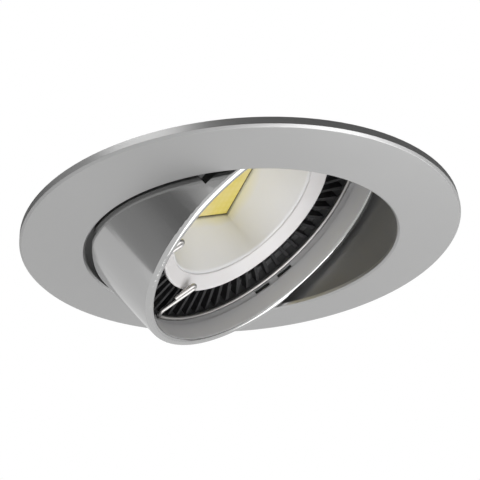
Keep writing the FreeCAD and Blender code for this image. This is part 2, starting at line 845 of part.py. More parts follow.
def make_light_source():
    """Round board with a square yellow light source in a dark border."""
    board_back = of.hub_back - of.hub_floor
    board_front = board_back - of.board_thickness
    board = new_body("source_board")
    sketch = new_sketch(board, "XY_Plane", board_front)
    circle(sketch, 0, 0, of.board_radius)
    pad(board, sketch, of.board_thickness)
    node(board, "source_board", tilted())

    border_outer = of.array_half - of.border_gap
    border_inner = border_outer - of.border_width
    border = new_body("source_border")
    sketch = new_sketch(border, "XY_Plane", board_front - of.array_thickness)
    corner_square(sketch, border_outer)
    corner_square(sketch, border_inner)
    pad(border, sketch, of.array_thickness)
    node(border, "source_border", tilted())

    array = new_body("light_source")
    sketch = new_sketch(array, "XY_Plane", board_front - of.array_thickness)
    corner_square(sketch, border_inner - of.border_gap)
    pad(array, sketch, of.array_thickness)
    node(array, "light_source", tilted())


def make_driver():
    """Driver housing behind the hub, its board and its two contact pins."""
    wall = of.housing_wall
    end = of.base_reach
    housing = turned(
        "driver_housing",
        [
            (of.housing_radius - wall, of.hub_back),
            (of.housing_radius, of.hub_back),
            (of.housing_radius, of.housing_shoulder),
            (of.housing_waist, of.housing_waist_reach),
            (of.base_radius, of.housing_waist_reach + of.base_step),
            (of.base_radius, end),
            (0, end),
            (0, end - wall),
            (of.base_radius - wall, end - wall),
            (of.base_radius - wall, of.housing_waist_reach + of.base_step / 2),
            (of.housing_waist - wall, of.housing_waist_reach - wall),
            (of.housing_radius - wall, of.housing_shoulder - wall / 2),
        ],
    )
    sketch = new_sketch(housing, "XY_Plane", end)
    for side in (0.5, -0.5):
        circle(sketch, of.pin_spacing * side, 0, of.pin_radius + of.face_gap)
    pocket(housing, sketch, wall * 2)
    node(housing, "driver_housing", tilted())

    board = new_body("driver_board")
    front = of.hub_back + of.seat_gap * 2
    sketch = new_sketch(board, "XZ_Plane")
    box_outline(
        sketch,
        (-of.driver_half_width, front),
        (of.driver_half_width, front + of.driver_length),
    )
    pad(board, sketch, of.driver_board_thickness)
    sketch = new_sketch(board, "XZ_Plane")
    corner_x = of.part_inset - of.driver_half_width
    corner_z = front + of.part_inset
    box_outline(
        sketch,
        (corner_x, corner_z),
        (corner_x + of.coil_former_width, corner_z + of.coil_former_length),
    )
    pad(board, sketch, of.coil_former_height, Reversed=True)
    sketch = new_sketch(board, "XZ_Plane")
    circle(
        sketch,
        of.driver_half_width - of.part_inset - of.capacitor_radius,
        corner_z + of.capacitor_radius,
        of.capacitor_radius,
    )
    pad(board, sketch, of.capacitor_height, Reversed=True)
    node(board, "driver_board", tilted())

    tip = end + of.pin_length
    pin = turned(
        "contact_pin",
        [
            (0, end - wall * 2),
            (of.pin_radius, end - wall * 2),
            (of.pin_radius, tip - of.pin_head_length),
            (of.pin_head_radius, tip - of.pin_head_length),
            (of.pin_head_radius, tip),
            (0, tip),
        ],
    )
    pin.Placement.Base = FreeCAD.Vector(of.pin_spacing.value / 2, 0, 0)
    node(pair("contact_pins", pin, ALONG_X), "contact_pins", tilted())


def make_lampholder():
    """Ceramic holder on the pins, with contacts, a cover and two rivets."""
    front = of.base_reach + of.holder_gap
    back = front + of.holder_length
    socket = of.pin_head_radius + of.seat_gap * 3
    holder = turned(
        "lampholder",
        [
            (0, front),
            (of.holder_radius - of.edge_round, front),
            (of.holder_radius, front + of.edge_round),
            (of.holder_radius, back),
            (0, back),
        ],
    )
    sketch = new_sketch(holder, "XY_Plane", front)
    for side in (0.5, -0.5):
        circle(sketch, of.pin_spacing * side, 0, socket)
    pocket(holder, sketch, of.socket_depth, Reversed=True)
    sketch = new_sketch(holder, "XY_Plane")
    for side in (0.5, -0.5):
        circle(sketch, 0, of.rivet_spacing * side, of.rivet_radius + of.face_gap)
    pocket_through(holder, sketch)
    node(holder, "lampholder", tilted())

    contact_back = front + of.socket_depth
    contact = turned(
        "holder_contact",
        [
            (0, contact_back - of.contact_thickness),
            (socket - of.seat_gap, contact_back - of.contact_thickness),
            (socket - of.seat_gap, contact_back),
            (0, contact_back),
        ],
    )
    contact.Placement.Base = FreeCAD.Vector(of.pin_spacing.value / 2, 0, 0)
    node(pair("holder_contacts", contact, ALONG_X), "holder_contacts", tilted())

    outside = back + of.cover_thickness
    cover = turned(
        "holder_cover",
        [
            (0, back),
            (of.holder_radius, back),
            (of.holder_radius, outside - of.edge_round),
            (of.holder_radius - of.edge_round, outside),
            (0, outside),
        ],
    )
    sketch = new_sketch(cover, "XY_Plane")
    for side in (0.5, -0.5):
        circle(sketch, 0, of.rivet_spacing * side, of.rivet_radius + of.face_gap)
    pocket_through(cover, sketch)
    node(cover, "holder_cover", tilted())

    rivet = turned(
        "holder_rivet",
        [
            (0, front),
            (of.rivet_radius, front),
            (of.rivet_radius, outside),
            (of.rivet_head_radius, outside),
            (of.rivet_head_radius, outside + of.rivet_head_height),
            (0, outside + of.rivet_head_height),
        ],
    )
    rivet.Placement.Base = FreeCAD.Vector(0, of.rivet_spacing.value / 2, 0)
    node(pair("holder_rivets", rivet, ALONG_Y), "holder_rivets", tilted())


# ---------------------------------------------------------------- spring clips

BRACKET_FACE = PAD_FACE + of.bracket_wall
CLIP_PIN_X = BRACKET_FACE + of.coil_gap + of.coil_wire + of.coil_radius
CHEEK_INNER = of.bracket_half_width - of.bracket_wall
BLADE_TOP = of.clip_pin_height - of.coil_radius - of.coil_wire - of.seat_gap
BLADE_LOW = BLADE_TOP - of.arm_thickness
ARM_HALF_WIDTH = CHEEK_INNER - of.arm_gap


def make_clip_brackets():
    """Folded brackets that carry the clip pins."""
    body = new_body("clip_bracket")
    sketch = new_sketch(body, "XY_Plane", of.bracket_low)
    box_outline(
        sketch,
        (PAD_FACE, -of.bracket_half_width),
        (BRACKET_FACE, of.bracket_half_width),
    )
    pad(body, sketch, of.bracket_high - of.bracket_low)
    sketch = new_sketch(body, "XY_Plane", of.bracket_low)
    box_outline(
        sketch,
        (PAD_FACE, CHEEK_INNER),
        (CLIP_PIN_X + of.cheek_margin, of.bracket_half_width),
    )
    cheek = pad(body, sketch, of.cheek_high - of.bracket_low)
    mirror(body, [cheek], "XZ_Plane")
    edge_x = CLIP_PIN_X + of.cheek_margin

    def cheek_corner(edge):
        return straight_edge(ALONG_Y, x=edge_x)(edge)

    round_edges(body, of.cheek_margin * 0.8, cheek_corner)
    sketch = new_sketch(body, "XZ_Plane")
    circle(
        sketch, CLIP_PIN_X, of.clip_pin_height, of.clip_pin_radius + of.running_gap / 2
    )
    pocket_through(body, sketch)
    for height in (of.clip_screw_low, of.clip_screw_high):
        sketch = new_sketch(body, "YZ_Plane", PAD_FACE)
        circle(sketch, 0, height, of.clip_screw_radius + of.seat_gap)
        pocket(body, sketch, of.bracket_wall * 2, Reversed=True)
    node(pair("clip_brackets", body, ALONG_X), "clip_brackets")


def make_clip_pins():
    half = of.bracket_half_width + of.face_gap
    end = half + of.clip_pin_head
    body = turned(
        "clip_pin",
        [
            (-end, 0),
            (-end, of.clip_pin_head_radius),
            (-half, of.clip_pin_head_radius),
            (-half, of.clip_pin_radius),
            (half, of.clip_pin_radius),
            (half, of.clip_pin_head_radius),
            (end, of.clip_pin_head_radius),
            (end, 0),
        ],
        axis="H_Axis",
        plane="YZ_Plane",
    )
    body.Placement.Base = FreeCAD.Vector(CLIP_PIN_X.value, 0, of.clip_pin_height.value)
    node(pair("clip_pins", body, ALONG_X), "clip_pins")


def make_clip_screws():
    """Two screws through each bracket into the collar."""
    screws = []
    for height in (of.clip_screw_low, of.clip_screw_high):
        body = turned(
            "clip_screw",
            [
                (PAD_FACE - of.clip_screw_depth, 0),
                (PAD_FACE - of.clip_screw_depth, of.clip_screw_radius),
                (BRACKET_FACE, of.clip_screw_radius),
                (BRACKET_FACE, of.clip_head_radius),
                (BRACKET_FACE + of.clip_head_height / 2, of.clip_head_radius),
                (BRACKET_FACE + of.clip_head_height, of.clip_head_radius / 2),
                (BRACKET_FACE + of.clip_head_height, 0),
            ],
            axis="H_Axis",
            plane="XY_Plane",
        )
        body.Placement.Base = FreeCAD.Vector(0, 0, height.value)
        screws.append(body)
        screws.append(mirrored(body, ALONG_X))
    node(group("clip_screws", screws), "clip_screws")


def biarc(start, leaving, end, arriving):
    """Two tangent arcs from one point to another with given directions."""
    chord = end - start
    both = leaving + arriving
    square = 2 * (1 - leaving.dot(arriving))
    spread = chord.dot(both)
    reach = (-spread + math.sqrt(spread ** 2 + square * chord.dot(chord))) / square
    first_corner = start + leaving * reach
    last_corner = end - arriving * reach
    joint = (first_corner + last_corner) * 0.5
    return [rounded(start, first_corner, joint), rounded(joint, last_corner, end)]


def rounded(start, corner, end):
    """The arc that is tangent to both legs of an even corner."""
    half_chord = (end - start).Length / 2
    cosine = half_chord / (corner - start).Length
    middle = (start + end) * 0.5
    top = middle + (corner - middle) * (cosine / (1 + cosine))
    return Part.Arc(start, top, end).toShape()


def coil_path():
    """The clip spring's wire: leg down, turns about the pin, leg out."""
    radius = of.coil_radius.value
    pitch = of.coil_pitch.value
    turns = int(of.coil_turns.value)
    centre_x = CLIP_PIN_X.value
    centre_z = of.clip_pin_height.value
    rise = pitch / (2 * math.pi * radius)
    stops = [0, 0.25] + [0.25 + half / 2 for half in range(1, 2 * turns)]
    stops += [turns, turns + 0.25]
    points = []
    directions = []
    for turn in stops:
        angle = math.pi + turn * 2 * math.pi
        climb = 0 if turn in (0, turns + 0.25) else rise
        along = pitch * (min(max(turn, 0.125), turns + 0.125) - turns / 2 - 0.125)
        points.append(
            FreeCAD.Vector(
                centre_x + radius * math.cos(angle),
                along,
                centre_z + radius * math.sin(angle),
            )
        )
        heading = FreeCAD.Vector(-math.sin(angle), climb, math.cos(angle))
        directions.append(heading.normalize())
    top = points[0] + ALONG_Z * of.coil_leg_up.value
    out = points[-1] + ALONG_X * of.coil_leg_out.value
    edges = [Part.LineSegment(top, points[0]).toShape()]
    for index in range(len(stops) - 1):
        edges += biarc(
            points[index], directions[index], points[index + 1], directions[index + 1]
        )
    edges.append(Part.LineSegment(points[-1], out).toShape())
    return edges, top


def least_self_gap(edges, wire):
    """Smallest clear distance between turns of the wire, measured on points.

    Points less than half a turn apart along the wire belong to the same bend.
    """
    points = []
    run = 0.0
    for edge in edges:
        steps = max(int(edge.Length / 0.25), 1)
        for step in range(steps):
            share = edge.FirstParameter + (
                edge.LastParameter - edge.FirstParameter
            ) * step / steps
            points.append((run + edge.Length * step / steps, edge.valueAt(share)))
        run += edge.Length
    near = math.pi * of.coil_radius.value
    least = min(
        (one - other).Length
        for place, one in points
        for distance, other in points
        if distance - place > near
    )
    return least - 2 * wire


def make_clip_springs():
    """Torsion springs on the clip pins, each one unbroken wire."""
    wire = of.coil_wire.value
    edges, top = coil_path()
    print("clip spring least gap to itself %.3f mm" % least_self_gap(edges, wire))
    right = doc.addObject("Part::Feature", "clip_spring")
    right.Shape = tube(Part.Wire(edges), top, ALONG_Z, wire)
    left = mirrored(right, ALONG_X)
    node(right, "clip_spring_right")
    node(left, "clip_spring_left")


def make_clip_arms():
    """Sprung steel arms that press on the upper face of the board."""
    body = new_body("clip_arm")
    start = CLIP_PIN_X
    bend = CLIP_PIN_X + of.arm_flat
    low_x = CLIP_PIN_X + of.arm_reach
    tip_x = low_x + of.arm_tip
    low_top = BLADE_TOP - of.arm_drop
    sketch = new_sketch(body, "XZ_Plane")
    polygon(
        sketch,
        [
            (start, BLADE_LOW),
            (bend, BLADE_LOW),
            (low_x, low_top - of.arm_thickness),
            (tip_x, low_top - of.arm_thickness + of.arm_tip_rise),
            (tip_x, low_top + of.arm_tip_rise),
            (low_x, low_top),
            (bend, BLADE_TOP),
            (start, BLADE_TOP),
        ],
    )
    pad(body, sketch, ARM_HALF_WIDTH * 2, Midplane=True)
    ear_top = of.clip_pin_height + of.arm_ear_radius
    ear_inner = CLIP_PIN_X - of.arm_ear_radius
    ear_outer = CLIP_PIN_X + of.arm_ear_radius
    sketch = new_sketch(body, "XZ_Plane", -ARM_HALF_WIDTH)
    polygon(
        sketch,
        [
            (ear_inner, BLADE_LOW + of.arm_thickness),
            (CLIP_PIN_X + of.seat_gap * 2, BLADE_LOW),
            (CLIP_PIN_X + of.arm_ear_length, BLADE_LOW),
            (ear_outer, ear_top),
            (ear_inner, ear_top),
        ],
    )
    ear = pad(body, sketch, of.arm_thickness)
    mirror(body, [ear], "XZ_Plane")
    for corner in (ear_inner, ear_outer):
        round_edges(
            body, of.arm_ear_radius * 0.8, straight_edge(ALONG_Y, x=corner, z=ear_top)
        )
    sketch = new_sketch(body, "XZ_Plane")
    circle(sketch, CLIP_PIN_X, of.clip_pin_height, of.clip_pin_radius + of.running_gap)
    pocket_through(body, sketch)

    def tip_corner(edge):
        middle = edge.CenterOfMass
        return (
            abs(middle.x - tip_x.value) < NEAR
            and abs(abs(middle.y) - ARM_HALF_WIDTH.value) < NEAR
        )

    round_edges(body, of.arm_tip / 2, tip_corner)
    left = mirrored(body, ALONG_X)
    node(body, "clip_arm_right")
    node(left, "clip_arm_left")


# ---------------------------------------------------------------- the whole light

make_trim_ring()
make_barrel_sleeve()
make_lamp_ring()
make_pivot_plates()
make_pivot_fasteners()
make_retaining_wire()
make_lamp_heat_sink()
make_lamp_bezel()
make_lamp_reflector()
make_light_source()
make_driver()
make_lampholder()
make_clip_brackets()
make_clip_pins()
make_clip_screws()
make_clip_springs()
make_clip_arms()
doc.recompute()

for item in doc.Objects:
    if "Invalid" in item.State or "Error" in item.State:
        raise ValueError("%s failed: %s" % (item.Name, item.State))
for item in NODES:
    if item.Shape.isNull() or not item.Shape.isValid():
        raise ValueError(item.Label + " has no valid shape")
    print("%-20s %d solids %10.1f mm3" % (item.Label, len(item.Shape.Solids), item.Shape.Volume))

os.makedirs("parts", exist_ok=True)
for item in NODES:
    item.Shape.exportStep("parts/%s.step" % item.Label)
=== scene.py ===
"""Studio picture of a recessed soffit downlight whose barrel swings out of a trim ring.

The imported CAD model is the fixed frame. Every piece made here is in metres in the
same frame: the origin is the centre of the flange's back face and +Z points up
into the soffit. Pieces of the barrel are drawn upright about the pivot, with the
mouth towards -Z, and are then turned to the resting tilt in their mesh.
"""
import logging
import math
from dataclasses import dataclass
from enum import Enum

import bmesh
import bpy
from mathutils import Matrix, Vector

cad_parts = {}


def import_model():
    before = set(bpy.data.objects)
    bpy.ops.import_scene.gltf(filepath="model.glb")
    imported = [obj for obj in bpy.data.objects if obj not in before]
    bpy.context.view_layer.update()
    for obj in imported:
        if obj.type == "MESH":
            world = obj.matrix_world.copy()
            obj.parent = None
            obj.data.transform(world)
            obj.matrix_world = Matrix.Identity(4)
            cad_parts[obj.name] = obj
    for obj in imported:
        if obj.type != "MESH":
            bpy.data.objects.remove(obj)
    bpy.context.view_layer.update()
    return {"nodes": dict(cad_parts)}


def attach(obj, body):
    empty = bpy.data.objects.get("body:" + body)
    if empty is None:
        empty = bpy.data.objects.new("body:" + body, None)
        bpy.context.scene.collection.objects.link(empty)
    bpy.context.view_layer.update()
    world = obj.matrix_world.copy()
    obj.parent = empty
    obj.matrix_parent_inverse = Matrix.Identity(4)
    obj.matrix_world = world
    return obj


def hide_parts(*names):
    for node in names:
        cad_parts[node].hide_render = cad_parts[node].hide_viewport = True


log = logging.getLogger("downlight")

Color = tuple[float, float, float]
Socket = bpy.types.NodeSocket

MM = 0.001
PIVOT_HEIGHT = 21.1 * MM
REST_TILT = math.radians(33.0)
TILTED = Matrix.Translation((0.0, 0.0, PIVOT_HEIGHT)) @ Matrix.Rotation(-REST_TILT, 4, "Y")
UPRIGHT = Matrix.Identity(4)

MERGE_DISTANCE = 0.002 * MM
FLAT_ANGLE = math.radians(0.5)
SHADING_ANGLE = math.radians(32.0)
CORNER_ANGLE = math.radians(38.0)
ROUND_PROFILE = 0.5
ROUNDING_FACES = 6

FLOOR_LEVEL = -0.32
EVEN_TONE = ((0.0, 0.75), (1.0, 0.75))
ZINC: Color = (0.6, 0.6, 0.58)
ZINC_ROUGHNESS = 0.34


class Place(Enum):
    """Where the pattern of a finish is centred."""

    TRIM = "trim"
    BARREL = "barrel"


class Ray(Enum):
    """Kinds of ray that a backdrop can answer to."""

    CAMERA = "Is Camera Ray"
    GLOSSY = "Is Glossy Ray"
    TRANSMISSION = "Is Transmission Ray"


# ---------------------------------------------------------------- node helpers


class Nodes:
    """A node tree under construction, with short calls for its nodes."""

    def __init__(self, tree: bpy.types.NodeTree) -> None:
        """Keeps the tree.

        Args:
            tree: the tree that the nodes go into.
        """
        self.tree = tree

    def node(self, kind: str, **settings: object) -> bpy.types.Node:
        """Adds a node and sets its properties.

        Args:
            kind: the node's type, without its ShaderNode prefix.
            settings: properties of the node.

        Returns:
            The new node.
        """
        item = self.tree.nodes.new("ShaderNode" + kind)
        for key, setting in settings.items():
            setattr(item, key, setting)
        return item

    def link(self, source: Socket, target: Socket) -> None:
        """Joins two sockets.

        Args:
            source: an output.
            target: an input.
        """
        self.tree.links.new(source, target)

    def feed(self, target: Socket, value: object) -> None:
        """Joins a socket to an input, or sets the input to a constant.

        Args:
            target: the input.
            value: a socket or a constant.
        """
        if isinstance(value, Socket):
            self.link(value, target)
        else:
            target.default_value = value

    def place(self, place: Place) -> Socket:
        """Object coordinates, turned to the barrel's own axes where it is asked.

        Args:
            place: which piece the pattern belongs to.

        Returns:
            The socket of the coordinates, in metres.
        """
        coordinates = self.node("TexCoord")
        if place is Place.TRIM:
            return coordinates.outputs["Object"]
        moved = self.node("Mapping", vector_type="TEXTURE")
        moved.inputs["Location"].default_value = (0.0, 0.0, PIVOT_HEIGHT)
        moved.inputs["Rotation"].default_value = (0.0, -REST_TILT, 0.0)
        self.link(coordinates.outputs["Object"], moved.inputs["Vector"])
        return moved.outputs["Vector"]

    def axes(self, vector: Socket) -> bpy.types.bpy_prop_collection:
        """Splits a vector.

        Args:
            vector: the vector.

        Returns:
            The sockets of its X, Y and Z.
        """
        split = self.node("SeparateXYZ")
        self.link(vector, split.inputs["Vector"])
        return split.outputs

    def noise(self, vector: Socket, scale: float, detail: float, rough: float = 0.5) -> Socket:
        """Noise from 0 to 1.

        Args:
            vector: the coordinates.
            scale: cycles to a metre.
            detail: octaves.
            rough: share of the finer octaves.

        Returns:
            The noise value.
        """
        texture = self.node("TexNoise")
        for key, setting in (("Scale", scale), ("Detail", detail), ("Roughness", rough)):
            texture.inputs[key].default_value = setting
        self.link(vector, texture.inputs["Vector"])
        return texture.outputs["Fac"]

    def math(self, operation: str, first: object, second: object = 0.0) -> Socket:
        """A sum on two numbers or sockets.

        Args:
            operation: the Math node's operation.
            first: a number or a socket.
            second: a number or a socket.

        Returns:
            The result.
        """
        item = self.node("Math", operation=operation)
        for index, value in enumerate((first, second)):
            self.feed(item.inputs[index], value)
        return item.outputs[0]

    def spread(self, value: Socket, low: float, high: float, start: float = 0.25,
               end: float = 0.75) -> Socket:
        """Maps a value from one range to another.

        Args:
            value: the value, from start to end.
            low: the result at start.
            high: the result at end.
            start: the lowest value.
            end: the highest value.

        Returns:
            The mapped value.
        """
        item = self.node("MapRange")
        for key, setting in (("From Min", start), ("From Max", end), ("To Min", low),
                             ("To Max", high)):
            item.inputs[key].default_value = setting
        self.link(value, item.inputs["Value"])
        return item.outputs["Result"]

    def blend(self, share: Socket, first: object, second: object) -> Socket:
        """Mixes two colours.

        Args:
            share: 0 for the first, 1 for the second.
            first: a colour or a socket.
            second: a colour or a socket.

        Returns:
            The mixed colour.
        """
        item = self.node("Mix", data_type="RGBA")
        self.link(share, item.inputs["Factor"])
        for socket, value in ((item.inputs[6], first), (item.inputs[7], second)):
            self.feed(socket, value if isinstance(value, Socket) else (*value, 1.0))
        return item.outputs[2]

    def answering(self, *rays: Ray) -> Socket:
        """1 for the given kinds of ray, and 0 for others.

        Args:
            rays: the kinds of ray.

        Returns:
            The 1 or 0.
        """
        path = self.node("LightPath")
        share = path.outputs[rays[0].value]
        for ray in rays[1:]:
            share = self.math("MAXIMUM", share, path.outputs[ray.value])
        return share


class Shader(Nodes):
    """A material under construction, which starts with a Principled shader."""

    def __init__(self, name: str) -> None:
        """Starts the material.

        Args:
            name: the material's name.
        """
        self.material = bpy.data.materials.new(name)
        self.material.use_nodes = True
        super().__init__(self.material.node_tree)
        self.tree.nodes.clear()
        self.out = self.node("OutputMaterial")
        self.surface = self.node("BsdfPrincipled")
        self.link(self.surface.outputs[0], self.out.inputs["Surface"])

    def coat(self, **inputs: object) -> None:
        """Sets inputs of the Principled shader, with _ for a space.

        Args:
            inputs: a socket or a constant for each input.
        """
        for key, value in inputs.items():
            self.feed(self.surface.inputs[key.replace("_", " ")], value)

    def mix(self, share: Socket, first: bpy.types.Node, second: bpy.types.Node) -> None:
        """Makes the material a mix of two shaders.

        Args:
            share: 0 for the first, 1 for the second.
            first: a shader's node.
            second: a shader's node.
        """
        both = self.node("MixShader")
        for index, source in enumerate((share, first.outputs[0], second.outputs[0])):
            self.link(source, both.inputs[index])
        self.link(both.outputs[0], self.out.inputs["Surface"])

    def bump(self, height: Socket, depth: float, strength: float) -> None:
        """Gives the surface fine relief.

        Args:
            height: the relief, from 0 to 1.
            depth: metres from 0 to 1.
            strength: share of the relief.
        """
        item = self.node("Bump")
        item.inputs["Strength"].default_value = strength
        item.inputs["Distance"].default_value = depth
        self.link(height, item.inputs["Height"])
        self.link(item.outputs["Normal"], self.surface.inputs["Normal"])


# ---------------------------------------------------------------- finishes


@dataclass(frozen=True)
class SatinPaint:
    """Silver-grey satin paint with metal flake, on cast and spun metal.

    Where a painted shade colour is given, the paint passes into that dark colour from one height
    to another: shade painted into the colour.
    """

    name: str
    place: Place
    color: Color = (0.435, 0.435, 0.434)
    roughness: float = 0.34
    metal: float = 0.82
    painted_shade: Color | None = None
    painted_shade_start: float = 0.0
    painted_shade_end: float = 0.0
    mottle: float = 0.04
    smoother: float = 0.02
    rougher: float = 0.03
    flake_scale: float = 5200.0
    cloud_scale: float = 28.0
    relief: float = 0.006 * MM

    def build(self) -> bpy.types.Material:
        """Makes the material.

        Returns:
            The material.
        """
        shader = Shader(self.name)
        spot = shader.place(self.place)
        flake = shader.noise(spot, self.flake_scale, detail=2.0)
        cloud = shader.noise(spot, self.cloud_scale, detail=3.0)
        dull = tuple(channel * (1.0 - self.mottle) for channel in self.color)
        bright = tuple(channel * (1.0 + self.mottle) for channel in self.color)
        tone = shader.math("ADD", shader.math("MULTIPLY", flake, 0.5),
                           shader.math("MULTIPLY", cloud, 0.5))
        paint = shader.blend(tone, dull, bright)
        # painted shade: between the two heights the colour passes into the dark shade colour,
        # which holds above them
        if self.painted_shade:
            share = shader.spread(shader.axes(spot)["Z"], 0.0, 1.0, self.painted_shade_start,
                                  self.painted_shade_end)
            paint = shader.blend(share, paint, self.painted_shade)
        rough = shader.spread(cloud, self.roughness - self.smoother,
                              self.roughness + self.rougher, start=0.0, end=1.0)
        shader.coat(Base_Color=paint, Roughness=rough, Metallic=self.metal)
        shader.bump(flake, self.relief, strength=0.25)
        return shader.material


@dataclass(frozen=True)
class BareMetal:
    """Bright or plated metal with fine marks and faint stains."""

    name: str
    place: Place
    color: Color
    roughness: float
    stain: float = 0.86
    smoother: float = 0.06
    rougher: float = 0.1
    mark_scale: float = 900.0
    stain_scale: float = 90.0
    relief: float = 0.01 * MM

    def build(self) -> bpy.types.Material:
        """Makes the material.

        Returns:
            The material.
        """
        shader = Shader(self.name)
        spot = shader.place(self.place)
        marks = shader.noise(spot, self.mark_scale, detail=4.0, rough=0.6)
        stains = shader.noise(spot, self.stain_scale, detail=2.0)
        dark = tuple(channel * self.stain for channel in self.color)
        tone = shader.blend(shader.spread(stains, 0.0, 1.0, start=0.4, end=0.7), self.color, dark)
        rough = shader.spread(marks, self.roughness - self.smoother,
                              self.roughness + self.rougher)
        shader.coat(Base_Color=tone, Roughness=rough, Metallic=1.0)
        shader.bump(marks, self.relief, strength=0.6)
        return shader.material


@dataclass(frozen=True)
class BlackAnodised:
    """Black finned aluminium with a slight grain and dust."""

    name: str
    color: Color = (0.011, 0.011, 0.0115)
    roughness: float = 0.46
    specular: float = 0.32
    dust_gain: float = 1.9
    dust_lift: float = 0.004
    smoother: float = 0.06
    rougher: float = 0.08
    grain_scale: float = 2400.0
    dust_scale: float = 160.0
    relief: float = 0.02 * MM

    def build(self) -> bpy.types.Material:
        """Makes the material.

        Returns:
            The material.
        """
        shader = Shader(self.name)
        spot = shader.place(Place.BARREL)
        grain = shader.noise(spot, self.grain_scale, detail=3.0)
        dust = shader.noise(spot, self.dust_scale, detail=4.0, rough=0.6)
        pale = tuple(channel * self.dust_gain + self.dust_lift for channel in self.color)
        tone = shader.blend(shader.spread(dust, 0.0, 1.0, start=0.45, end=0.75), self.color, pale)
        rough = shader.spread(grain, self.roughness - self.smoother,
                              self.roughness + self.rougher)
        shader.coat(Base_Color=tone, Roughness=rough, Specular_IOR_Level=self.specular)
        shader.bump(grain, self.relief, strength=0.6)
        return shader.material


@dataclass(frozen=True)
class MouldedPlastic:
    """Moulded plastic or unglazed ceramic with a slight mottle and orange peel."""

    name: str
    color: Color
    roughness: float
    peel_scale: float = 900.0
    relief: float = 0.012 * MM
    warmth: Color = (0.97, 0.96, 0.94)
    smoother: float = 0.04
    rougher: float = 0.06
    mottle_scale: float = 60.0

    def build(self) -> bpy.types.Material:
        """Makes the material.

        Returns:
            The material.
        """
        shader = Shader(self.name)
        spot = shader.place(Place.BARREL)
        mottle = shader.noise(spot, self.mottle_scale, detail=3.0)
        peel = shader.noise(spot, self.peel_scale, detail=3.0)
        warm = tuple(channel * share for channel, share in zip(self.color, self.warmth))
        tone = shader.blend(shader.spread(mottle, 0.0, 1.0, start=0.35, end=0.7), self.color, warm)
        rough = shader.spread(peel, self.roughness - self.smoother,
                              self.roughness + self.rougher)
        shader.coat(Base_Color=tone, Roughness=rough)
        shader.bump(peel, self.relief, strength=0.6)
        return shader.material


@dataclass(frozen=True)
class PhosphorGel:
    """Yellow silicone over the light source, with the faint grid of its chips."""

    name: str
    color: Color = (0.68, 0.58, 0.24)
    deep: Color = (0.66, 0.55, 0.12)
    chip_gain: float = 1.06
    chip_share: float = 0.35
    pitch: float = 3.2 * MM
    turn: float = math.radians(45.0)
    cloud_scale: float = 45.0
    smoothest: float = 0.38
    roughest: float = 0.5
    relief: float = 0.05 * MM

    def build(self) -> bpy.types.Material:
        """Makes the material.

        Returns:
            The material.
        """
        shader = Shader(self.name)
        spot = shader.place(Place.BARREL)
        cloud = shader.noise(spot, self.cloud_scale, detail=2.0)
        turned = shader.node("Mapping")
        turned.inputs["Rotation"].default_value = (0.0, 0.0, self.turn)
        shader.link(spot, turned.inputs["Vector"])
        sides = shader.axes(turned.outputs["Vector"])
        waves = []
        for side in (sides["X"], sides["Y"]):
            phase = shader.math("MULTIPLY", side, math.pi / self.pitch)
            waves.append(shader.math("ABSOLUTE", shader.math("SINE", phase)))
        chips = shader.math("MULTIPLY", waves[0], waves[1])
        depth = shader.spread(cloud, 0.0, 1.0, start=0.4, end=0.65)
        tint = shader.blend(depth, self.color, self.deep)
        lit = tuple(channel * self.chip_gain for channel in self.color)
        shader.coat(
            Base_Color=shader.blend(shader.math("MULTIPLY", chips, self.chip_share), tint, lit),
            Roughness=shader.spread(cloud, self.smoothest, self.roughest))
        shader.bump(chips, self.relief, strength=0.3)
        return shader.material


@dataclass(frozen=True)
class BowlWithPaintedReflection:
    """White glossy moulding with the yellow reflection of the light source painted into its colour
    next to the source.
    """

    name: str
    color: Color = (0.80, 0.80, 0.81)
    # yellow of the painted reflection of the light source
    cast: Color = (0.83, 0.80, 0.62)
    reflection_start: float = 13.5 * MM
    reflection_end: float = 18.0 * MM
    reflection_waver: float = 2.0 * MM
    roughness: float = 0.34
    smoother: float = 0.04
    rougher: float = 0.06
    cloud_scale: float = 30.0
    peel_scale: float = 700.0
    relief: float = 0.01 * MM

    def build(self) -> bpy.types.Material:
        """Makes the material.

        Returns:
            The material.
        """
        shader = Shader(self.name)
        spot = shader.place(Place.BARREL)
        cloud = shader.noise(spot, self.cloud_scale, detail=2.0)
        # painted reflection: the colour turns yellow towards the light source, with a wavering
        # edge
        waver = shader.spread(cloud, -self.reflection_waver, self.reflection_waver)
        height = shader.math("ADD", shader.axes(spot)["Z"], waver)
        share = shader.spread(height, 0.0, 1.0, self.reflection_start, self.reflection_end)
        peel = shader.noise(spot, self.peel_scale, detail=3.0)
        rough = shader.spread(peel, self.roughness - self.smoother,
                              self.roughness + self.rougher)
        shader.coat(Base_Color=shader.blend(share, self.color, self.cast), Roughness=rough)
        shader.bump(peel, self.relief, strength=0.5)
        return shader.material


@dataclass(frozen=True)
class BoardLacquer:
    """Coloured lacquer of a circuit board, with darker tracks."""

    name: str
    color: Color = (0.10, 0.30, 0.15)
    track: Color = (0.06, 0.22, 0.10)
    track_scale: float = 160.0
    track_width: float = 0.04
    speck_scale: float = 700.0
    smoothest: float = 0.3
    roughest: float = 0.42
    relief: float = 0.03 * MM

    def build(self) -> bpy.types.Material:
        """Makes the material.

        Returns:
            The material.
        """
        shader = Shader(self.name)
        spot = shader.place(Place.BARREL)
        bricks = shader.node("TexBrick")
        bricks.inputs["Scale"].default_value = self.track_scale
        bricks.inputs["Mortar Size"].default_value = self.track_width
        shader.link(spot, bricks.inputs["Vector"])
        tracks = bricks.outputs["Fac"]
        speck = shader.noise(spot, self.speck_scale, detail=2.0)
        shader.coat(Base_Color=shader.blend(tracks, self.color, self.track),
                    Roughness=shader.spread(speck, self.smoothest, self.roughest))
        shader.bump(tracks, self.relief, strength=0.5)
        return shader.material


# ---------------------------------------------------------------- mesh helpers


